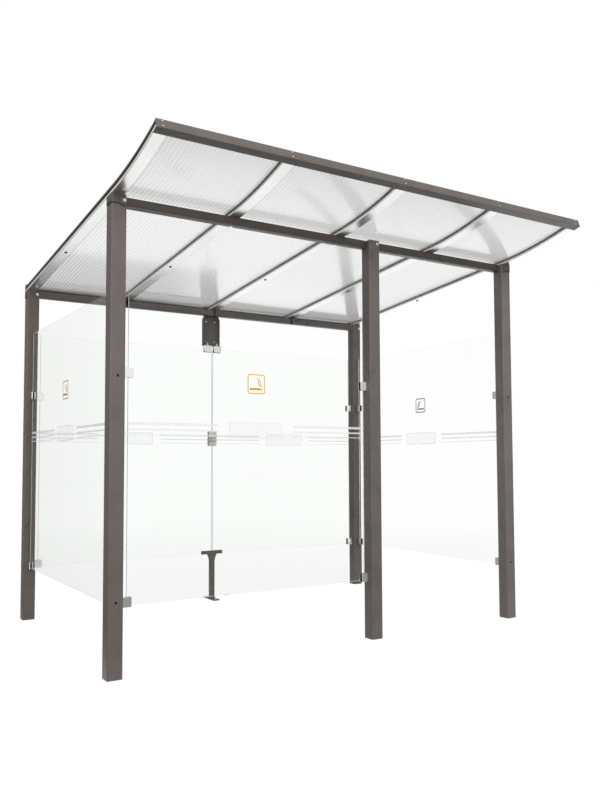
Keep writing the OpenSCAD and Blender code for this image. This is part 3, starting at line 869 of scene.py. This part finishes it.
clamp_steel = brushed_steel("brushed_stainless_steel", "#f4f4f2", 0.20)
shaded_clamp_steel = brushed_steel("brushed_stainless_steel_shade", "#b4b2ae", 0.26)
clamp_length, clamp_height, clamp_radius = 0.0455, 0.045, 0.005
clamp_jaw, clamp_half, clamp_core, clamp_edge = 0.005, 0.013, 0.023, 0.0010
glass_half, liner, lip, lip_width = 0.004, 0.001, 0.0015, 0.0040
liner_inset, liner_share = 0.0003, 0.995     # the liner ends just inside the jaws
clamp_levels = (0.323, 1.334)

# Where each group of clamps leaves its posts, and the heading in which it points
front_glass_y, rear_glass_y = front_y + post_side / 2, rear_y - post_side / 2
left_glass_x, right_glass_x = frame_x0 + post_side / 2, frame_x1 - post_side / 2
clamp_spots = {
    "front": ((frame_x0 + post_side, front_glass_y, 0), (middle_left_edge, front_glass_y, 180)),
    "left": ((left_glass_x, front_y + post_side, 90), (left_glass_x, inner_rear_face, -90)),
    "right": ((right_glass_x, front_y + post_side, 90), (right_glass_x, inner_rear_face, -90)),
    "rear": ((frame_x0 + post_side, rear_glass_y, 0),
             (frame_x1 - post_side, rear_glass_y, 180))}
clamp_places = {
    side: [Matrix.Translation((x, y, z)) @ Matrix.Rotation(math.radians(heading), 4, "Z")
           for z in clamp_levels for x, y, heading in spots]
    for side, spots in clamp_spots.items()}


def rounded_end(length, height, radius, steps=8):
    """Outline of the round end of a clamp, bottom to top, with how far each point
    faces along the clamp."""
    path = []
    for centre, start in ((radius - height / 2, -90), (height / 2 - radius, 0)):
        for k in range(steps + 1):
            a = math.radians(start + 90 * k / steps)
            path.append((length - radius + radius * math.cos(a),
                         centre + radius * math.sin(a), math.cos(a)))
    return path


def raise_outline(form, outline, y0, y1, place):
    """Adds a closed plate with the outline in X and Z, from y0 to y1."""
    close_rings(form, [[form.verts.new(place @ Vector((x, y, z))) for x, z in outline]
                       for y in (y0, y1)])


def add_liner(form, length, height, radius, place):
    """Adds both halves of a clamp's rubber liner, with its lip."""
    path = rounded_end(length, height, radius)
    plate = [(clamp_core, -height / 2)] + [
        (x - liner_inset, z * liner_share) for x, z, _ in path] + [(clamp_core, height / 2)]
    rim = [(x, z) for x, z, _ in path] + [(x + lip * n, z) for x, z, n in path[-2:0:-1]]
    for side in (-1, 1):
        for outline, thick in ((plate, liner), (rim, lip_width)):
            a, b = sorted((side * glass_half, side * (glass_half + thick)))
            raise_outline(form, outline, a, b, place)


def add_jaws(form, length, height, radius, place):
    """Adds the two jaws of a clamp and the core between them that the post carries."""
    end = [(x, z) for x, z, _ in rounded_end(length, height, radius)]
    jaw = [(0.0, -height / 2)] + end + [(0.0, height / 2)]
    core = [(0.0, -height / 2), (clamp_core, -height / 2),
            (clamp_core, height / 2), (0.0, height / 2)]
    for y0, y1 in ((-clamp_half, -clamp_jaw), (clamp_jaw, clamp_half)):
        raise_outline(form, jaw, y0, y1, place)
    raise_outline(form, core, -clamp_jaw, clamp_jaw, place)


# The clamps of the right pane have a darker copy of the brushed steel: painted shade
for side, places in clamp_places.items():
    form = bmesh.new()
    for place in places:
        add_jaws(form, clamp_length, clamp_height, clamp_radius, place)
    jaws = ease_edges("glass_clamps_" + side, closed_mesh("clamps", form),
                      [shaded_clamp_steel if side == "right" else clamp_steel], clamp_edge)
    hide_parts("clamps_" + side)
    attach(jaws, "root")

form = bmesh.new()
all_clamps = sum(clamp_places.values(), [])
for place in all_clamps:
    add_liner(form, clamp_length, clamp_height, clamp_radius, place)

# Liners of the two hanging clamps and of the joint connector, and the glazing rubber in
# the rail of the foot, belong to the same set
bracket_low, bracket_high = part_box("hanging_bracket")
hanger_pitch, hanger_size = 0.071, (0.045, 0.052, 0.004)     # length, width, radius
hanger_places = [Matrix.Translation((side * hanger_pitch / 2, rear_glass_y, bracket_low[2]))
                 @ Matrix.Rotation(math.radians(90), 4, "Y") for side in (-1, 1)]
for place in hanger_places:
    add_liner(form, *hanger_size, place)
connector_low, connector_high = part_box("joint_connector")
joint_half, rubber_rim, channel_half = 0.0035, 0.0008, glass_half + liner
for side in (-1, 1):
    x0, x1 = sorted((side * joint_half, side * (connector_high[0] + rubber_rim)))
    for face in (-1, 1):
        y0, y1 = sorted((rear_glass_y + face * glass_half,
                         rear_glass_y + face * channel_half))
        add_box(form, (x0, y0, connector_low[2] - rubber_rim),
                (x1, y1, connector_high[2] + rubber_rim))
glass_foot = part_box("glass_rear_left")[0][2]
rail_x, rail_half, rail_wall, rail_height = 0.0765, 0.008, 0.003, 0.022
rail_foot = glass_foot - liner - rail_wall
rail_top = rail_foot + rail_height
channel_top = rail_top + liner
channel = [(-channel_half, glass_foot - liner), (channel_half, glass_foot - liner),
           (channel_half, channel_top), (glass_half, channel_top), (glass_half, glass_foot),
           (-glass_half, glass_foot), (-glass_half, channel_top), (-channel_half, channel_top)]
turn_rail = Matrix.Translation((0, rear_glass_y, 0)) @ Matrix.Rotation(math.radians(90), 4, "Z")
raise_outline(form, channel, -rail_x - rubber_rim, rail_x + rubber_rim, turn_rail)
liners = show_mesh("glass_liners", closed_mesh("glass_liners", form), [seal_rubber])
shade_by_angle(liners.data)
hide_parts("glass_rubbers")
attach(liners, "root")

# Two screws close each clamp, from behind or from the right
clamp_screw_x, clamp_screw_z = 0.013, 0.011
screws = []
for place in all_clamps:
    turned = place.to_3x3()
    outward = turned @ Vector((0, 1, 0))
    side = 1 if outward.x + outward.y > 0 else -1
    for z in (-clamp_screw_z, clamp_screw_z):
        screws.append((place @ Vector((clamp_screw_x, side * clamp_half, z)),
                       turned @ Vector((0, side, 0))))
place_heads("clamp_screws", screws, screw_steel,
            width=0.009, height=0.0025, socket=0.004)

# Black plugs in the holes through which the clamps are screwed to the front posts, and
# coated rivets in the posts beside the entrance
plugs, rivets = [], []
plug_levels, side_rivet_y = (1.316, 0.329), front_y + 0.028
for z in plug_levels:
    plugs += [((frame_x0 + 0.036, front_y, z), to_front),
              ((frame_x1 - 0.034, front_y, z), to_front)]
    rivets += [(((middle_left_edge + middle_right_edge) / 2, front_y, z), to_front),
               ((frame_x1 - post_side, side_rivet_y, z), (-1, 0, 0))]
place_heads("post_plugs", plugs, cap_plastic,
            width=0.012, height=0.0012, socket=0.004)
place_heads("post_rivets", rivets, post_coat,
            width=0.008, height=0.0015, socket=0.0025)

# ---------------------------------------------------------------- hanging bracket
# Folded steel tray on the back of the rear beam, powder coated near the posts' colour.
# Two clamps under it, bolted through its shelf, hold the free corners of the rear panes.

fitting_coat = powder_coat("powder_coat_dark_brown", "#67605b", "#5d5752", 0.32)
fitting_edge, tray_plate = 0.0012, 0.003
tray = dressed_copy("hanging_bracket", "bracket_tray", fitting_coat,
                    fitting_edge)
# The neck is wider than the CAD one, which leaves smaller shoulders
neck_inner, neck_outer, neck_shift = 0.036, 0.0436, 0.0095
for v in tray.data.vertices:
    if neck_inner < abs(v.co.x) < neck_outer:
        v.co.x += math.copysign(neck_shift, v.co.x)
form = bmesh.new()
for place in hanger_places:
    add_jaws(form, *hanger_size, place)
hangers = ease_edges("hanging_clamps", closed_mesh("hanging_clamps", form), [clamp_steel],
                     clamp_edge)
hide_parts("hanger_clamps")
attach(hangers, "root")
tray_face, rivet_x, rivet_levels = bracket_high[1] - tray_plate, 0.0315, (1.904, 1.763)
place_heads("bracket_rivets", [
    ((x, tray_face, z), to_front) for x in (-rivet_x, rivet_x) for z in rivet_levels
], bolt_steel, width=0.011, height=0.004, socket=0.003)
# The clamps' bolts stand up through the shelf of the tray
place_heads("hanger_bolts", [
    ((side * hanger_pitch / 2, rear_glass_y, bracket_low[2] + tray_plate), upwards)
    for side in (-1, 1)], bolt_steel, width=0.011, height=0.018, socket=0.003)

# ---------------------------------------------------------------- joint connector
# Anodised aluminium plates on both sides of the joint between the rear panes, bolted
# together through it, with two level grooves turned into their faces. The grooves are
# drawn as thin black strips: painted shade in them.

connector_metal = brushed_steel("anodised_aluminium", "#d6d7d4", 0.38)
dressed_copy("joint_connector", "connector_plates", connector_metal,
             fitting_edge)
# Each groove is a thin black strip on the plate's face: painted shade
groove_levels, groove_side, groove_deep, groove_half = (0.033, 0.054), 0.0002, 0.0003, 0.0015
groove_shade = bmesh.new()
for face in (connector_low[1], connector_high[1]):
    for z in [connector_low[2] + level for level in groove_levels]:
        add_box(groove_shade, (connector_low[0] - groove_side, face - groove_deep, z - groove_half),
                (connector_high[0] + groove_side, face + groove_deep, z + groove_half))
lines = show_mesh("connector_groove_shade", closed_mesh("connector_groove_shade", groove_shade), [cap_plastic])
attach(lines, "root")

# ---------------------------------------------------------------- foot support
# Welded steel stand under the joint of the rear panes: base plate, collar, square
# column that flares at its head, and the rail that the panes stand in.

base_half_x, base_half_y, base_thick, base_bolt_y = 0.022, 0.080, 0.008, 0.058
collar_half, collar_top, column_half, column_sunk = 0.019, 0.016, 0.015, 0.002
flare_half, flare_height, flare_steps = 0.0305, 0.055, 8
stand_edge = 0.0009
foot = bmesh.new()
for half_x, half_y, z0, z1 in ((base_half_x, base_half_y, 0.0, base_thick),
                               (collar_half, collar_half, base_thick, collar_top)):
    add_box(foot, (-half_x, rear_glass_y - half_y, z0), (half_x, rear_glass_y + half_y, z1))
levels = [(collar_top - column_sunk, column_half)]
for k in range(flare_steps + 1):
    f = k / flare_steps
    levels.append((rail_foot - flare_height * (1 - f),
                   column_half + (flare_half - column_half) * f ** 2))
close_rings(foot, [[foot.verts.new((sx * half, rear_glass_y + sy * column_half, z))
                    for sx, sy in ((-1, -1), (1, -1), (1, 1), (-1, 1))] for z, half in levels])
slot_half, slot_foot = rail_half - rail_wall, rail_foot + rail_wall
rail_outline = [(-rail_half, rail_foot), (rail_half, rail_foot), (rail_half, rail_top),
                (slot_half, rail_top), (slot_half, slot_foot), (-slot_half, slot_foot),
                (-slot_half, rail_top), (-rail_half, rail_top)]
raise_outline(foot, rail_outline, -rail_x, rail_x, turn_rail)
stand = ease_edges("foot_stand", closed_mesh("foot_stand", foot), [fitting_coat], stand_edge)
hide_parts("foot_support")
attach(stand, "root")
place_heads("base_bolts", [
    ((0, rear_glass_y + side * base_bolt_y, base_thick), upwards) for side in (-1, 1)
], screw_steel, width=0.016, height=0.007, socket=0.006)

# ---------------------------------------------------------------- floor, light, camera
# A white floor and an even white sky, brighter towards the front, with one large soft
# lamp at the front left.


def white_floor():
    """White floor. Seen directly it is white but for the shelter's soft shadow. Its matt
    share is grey near the shelter, so that little light comes up from below. Glossy
    pieces mirror it as bright under the shelter and to its right, and as dark in front,
    to the left and to the rear."""
    finish, tree, place = new_finish("white_studio_floor")
    far = add_node(tree, "ShaderNodeVectorMath", {0: place}, operation="LENGTH")
    near = add_node(tree, "ShaderNodeMapRange", {
        "Value": far, "From Min": 1.5, "From Max": 8.0, "To Min": 0.14, "To Max": 0.70})
    matt = add_node(tree, "ShaderNodeBsdfDiffuse", {"Color": near})
    away = add_node(tree, "ShaderNodeVectorMath", {0: place}, operation="NORMALIZE")
    heading = add_node(tree, "ShaderNodeSeparateXYZ", {0: away}).outputs
    right_tone = add_node(tree, "ShaderNodeMapRange", {
        "Value": heading["X"], "From Min": 0.29, "From Max": 0.42,
        "To Min": 0.32, "To Max": 1.05})
    around = add_node(tree, "ShaderNodeMapRange", {
        "Value": far, "From Min": 1.3, "From Max": 1.9, "To Min": 1.06, "To Max": right_tone})
    spot = add_node(tree, "ShaderNodeSeparateXYZ", {0: place}).outputs
    behind = add_node(tree, "ShaderNodeMapRange", {
        "Value": spot["Y"], "From Min": -1.2, "From Max": -0.9})
    beside = add_node(tree, "ShaderNodeMapRange", {
        "Value": spot["X"], "From Min": -1.45, "From Max": -1.25})
    inside = add_node(tree, "ShaderNodeMath", {0: behind, 1: beside}, operation="MINIMUM")
    mirrored = add_node(tree, "ShaderNodeMix", {0: inside, 2: 0.28, 3: around},
                        data_type="FLOAT")
    path = add_node(tree, "ShaderNodeLightPath").outputs
    mirror_ray = add_node(tree, "ShaderNodeMath", {
        0: path["Is Glossy Ray"], 1: path["Is Reflection Ray"]}, operation="MULTIPLY")
    bright = add_node(tree, "ShaderNodeMix", {0: mirror_ray, 2: 1.04, 3: mirrored},
                      data_type="FLOAT")
    glow = add_node(tree, "ShaderNodeEmission", {"Color": (1, 1, 1, 1), "Strength": bright})
    seen = add_node(tree, "ShaderNodeMath", {0: path["Is Camera Ray"], 1: mirror_ray},
                    operation="MAXIMUM")
    direct = add_node(tree, "ShaderNodeMath", {0: seen, 1: 0.97}, operation="MULTIPLY")
    through_glass = add_node(tree, "ShaderNodeMath", {
        0: path["Is Transmission Ray"], 1: 0.88}, operation="MULTIPLY")
    share = add_node(tree, "ShaderNodeMath", {0: direct, 1: through_glass},
                     operation="MAXIMUM")
    floor_shader = add_node(tree, "ShaderNodeMixShader", {0: share, 1: matt, 2: glow})
    add_node(tree, "ShaderNodeOutputMaterial", {"Surface": floor_shader})
    return finish


floor_half, floor_z = 60.0, -0.0005
form = bmesh.new()
bmesh.ops.create_grid(form, x_segments=2, y_segments=2, size=floor_half)
for v in form.verts:
    v.co.z = floor_z
show_mesh("studio_floor", mesh_of("studio_floor", form), [white_floor()])


def white_sky(tree):
    """Sky that lights matt pieces evenly, a little more from the front. Seen directly or
    through glass it is white. Glossy pieces mirror it as bright to the front left, most
    of all in a strip there, and to the rear right, and as grey elsewhere."""
    towards = add_node(tree, "ShaderNodeTexCoord").outputs["Generated"]
    sides = add_node(tree, "ShaderNodeSeparateXYZ", {0: towards}).outputs
    front_side = add_node(tree, "ShaderNodeVectorMath", {
        0: towards, 1: (-0.15, -0.70, 0.70)}, operation="DOT_PRODUCT")
    lighting = add_node(tree, "ShaderNodeMapRange", {
        "Value": front_side, "From Min": -1.0, "From Max": 1.0, "To Min": 0.50, "To Max": 1.20})
    bright_side = add_node(tree, "ShaderNodeVectorMath", {
        0: towards, 1: (-0.75, -0.66, 0.0)}, operation="DOT_PRODUCT")
    front_tone = add_node(tree, "ShaderNodeMapRange", {
        "Value": bright_side, "From Min": -0.1, "From Max": 0.80, "To Min": 0.40, "To Max": 1.50})
    far_left = add_node(tree, "ShaderNodeVectorMath", {
        0: towards, 1: (-0.87, -0.49, 0.0)}, operation="DOT_PRODUCT")
    left_strip = add_node(tree, "ShaderNodeMapRange", {
        "Value": far_left, "From Min": 0.88, "From Max": 0.97, "To Min": 0.0, "To Max": 2.5})
    front_lit = add_node(tree, "ShaderNodeMath", {0: front_tone, 1: left_strip}, operation="ADD")
    rear_tone = add_node(tree, "ShaderNodeMapRange", {
        "Value": sides["X"], "From Min": 0.29, "From Max": 0.42, "To Min": 0.32, "To Max": 1.05})
    rear_half = add_node(tree, "ShaderNodeMapRange", {
        "Value": sides["Y"], "From Min": 0.0, "From Max": 0.3, "To Min": 0.0, "To Max": 1.0})
    all_round = add_node(tree, "ShaderNodeMix", {0: rear_half, 2: front_lit, 3: rear_tone},
                         data_type="FLOAT")
    right_shade = add_node(tree, "ShaderNodeMapRange", {
        "Value": sides["X"], "From Min": 0.80, "From Max": 0.92, "To Min": 1.0, "To Max": 0.30})
    mirrored = add_node(tree, "ShaderNodeMath", {0: all_round, 1: right_shade},
                        operation="MULTIPLY")
    path = add_node(tree, "ShaderNodeLightPath").outputs
    lit_or_mirrored = add_node(tree, "ShaderNodeMix", {
        0: path["Is Glossy Ray"], 2: lighting, 3: mirrored}, data_type="FLOAT")
    straight = add_node(tree, "ShaderNodeMath", {
        0: path["Is Camera Ray"], 1: path["Is Transmission Ray"]}, operation="MAXIMUM")
    strength = add_node(tree, "ShaderNodeMix", {0: straight, 2: lit_or_mirrored, 3: 1.0},
                        data_type="FLOAT")
    sky = add_node(tree, "ShaderNodeBackground", {"Color": (1, 1, 1, 1), "Strength": strength})
    add_node(tree, "ShaderNodeOutputWorld", {"Surface": sky})


world = bpy.data.worlds.new("white_sky")
world.use_nodes = True
world.node_tree.nodes.clear()
white_sky(world.node_tree)
bpy.context.scene.world = world

# The lamp lights the shelter but isn't mirrored in it, nor seen through the glass
lamp = bpy.data.lights.new("soft_front_lamp", "AREA")
lamp.shape = "RECTANGLE"
lamp.size, lamp.size_y = 3.2, 3.0
lamp.energy = 155.0
lamp_place = bpy.data.objects.new("soft_front_lamp", lamp)
lamp_place.visible_glossy = False
lamp_place.visible_transmission = False
lamp_place.location = (-1.0, -5.6, 3.2)
lamp_aim = Vector((0, 0.2, 1.0)) - lamp_place.location
lamp_place.rotation_euler = lamp_aim.to_track_quat("-Z", "Y").to_euler()
bpy.context.scene.collection.objects.link(lamp_place)

# The camera stands at the front left, a little under half the shelter's height
camera = bpy.data.cameras.new("camera")
camera.sensor_width = 36.0
camera.lens = 35.241
camera.shift_y = 0.01978
camera.clip_start, camera.clip_end = 0.05, 200.0
camera_place = bpy.data.objects.new("camera", camera)
stand_point = (-2.36431, -3.87869, 0.94512)
yaw, pitch, roll = 0.563169, 0.055660, -0.003665
aim = Vector((math.sin(yaw) * math.cos(pitch), math.cos(yaw) * math.cos(pitch), math.sin(pitch)))
level = Vector((math.cos(yaw), -math.sin(yaw), 0))
upright = level.cross(aim)
right = level * math.cos(roll) + upright * math.sin(roll)
top = upright * math.cos(roll) - level * math.sin(roll)
camera_place.matrix_world = (Matrix.Translation(stand_point)
                             @ Matrix((right, top, -aim)).transposed().to_4x4())
bpy.context.scene.collection.objects.link(camera_place)
bpy.context.scene.camera = camera_place
bpy.context.scene.view_settings.view_transform = "Standard"
# Enough to look along the roof through all the inner walls of its sheets
bpy.context.scene.cycles.transparent_max_bounces = 32
